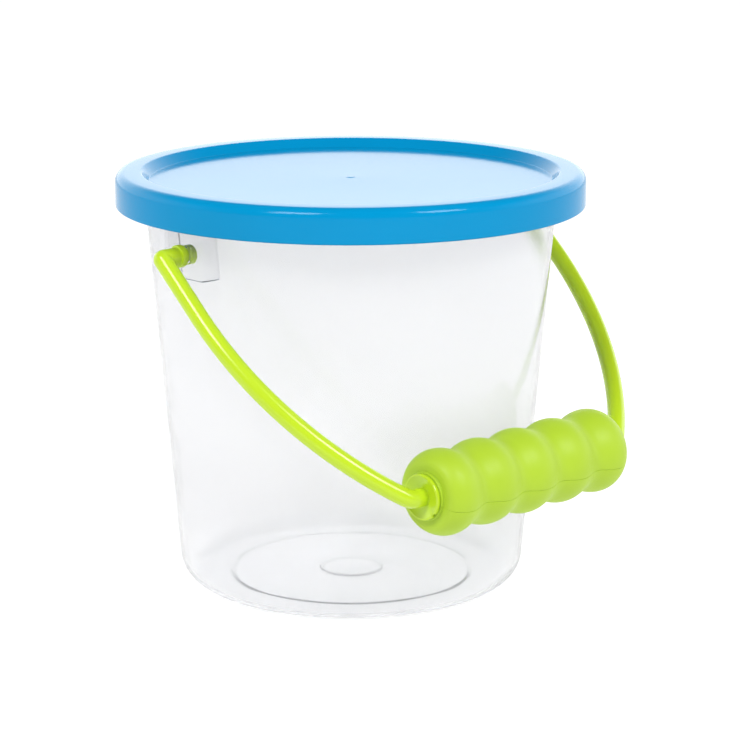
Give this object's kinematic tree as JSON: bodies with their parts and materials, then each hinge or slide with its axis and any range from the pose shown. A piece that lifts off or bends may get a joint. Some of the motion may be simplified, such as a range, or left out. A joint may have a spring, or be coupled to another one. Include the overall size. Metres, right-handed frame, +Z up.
{
  "type": "sand bucket with lid",
  "caption": "Clear tapered sand bucket with a push-on lid, a swinging rod bail and a lobed two-part grip that turns on the bail.",
  "frame": {"origin": "centre of the flat base, on the surface that the bucket stands on", "axes": "+Z up along the bucket's axis; the bail's two pins lie along X; the bail hangs towards -Y"},
  "size_m": [0.2178, 0.2153, 0.1789],
  "materials": {
    "clear_plastic": "clear, moulded, slightly milky",
    "blue_plastic": "glossy, opaque",
    "green_rod_plastic": "satin gloss with a fine parting line",
    "green_grip_plastic": "soft satin"
  },
  "bodies": {
    "bucket": {"bucket_body": "clear_plastic"},
    "lid": {"lid": "blue_plastic"},
    "bail": {"bail": "green_rod_plastic"},
    "grip": {"grip_upper_half": "green_grip_plastic", "grip_lower_half": "green_grip_plastic"}
  },
  "joints": [
    {"name": "lid_lift", "type": "slide", "parent": "bucket", "child": "lid", "axis": [0, 0, 1], "range_m": [0, 0.06]},
    {"name": "bail_swing", "type": "hinge", "parent": "bucket", "child": "bail", "pos_m": [0, 0, 0.154], "axis": [-1, 0, 0], "range_deg": [0, 265]},
    {"name": "grip_spin", "type": "hinge", "parent": "bail", "child": "grip", "pos_m": [0, -0.09761, 0.06512], "axis": [1, 0, 0], "continuous": true}
  ]
}
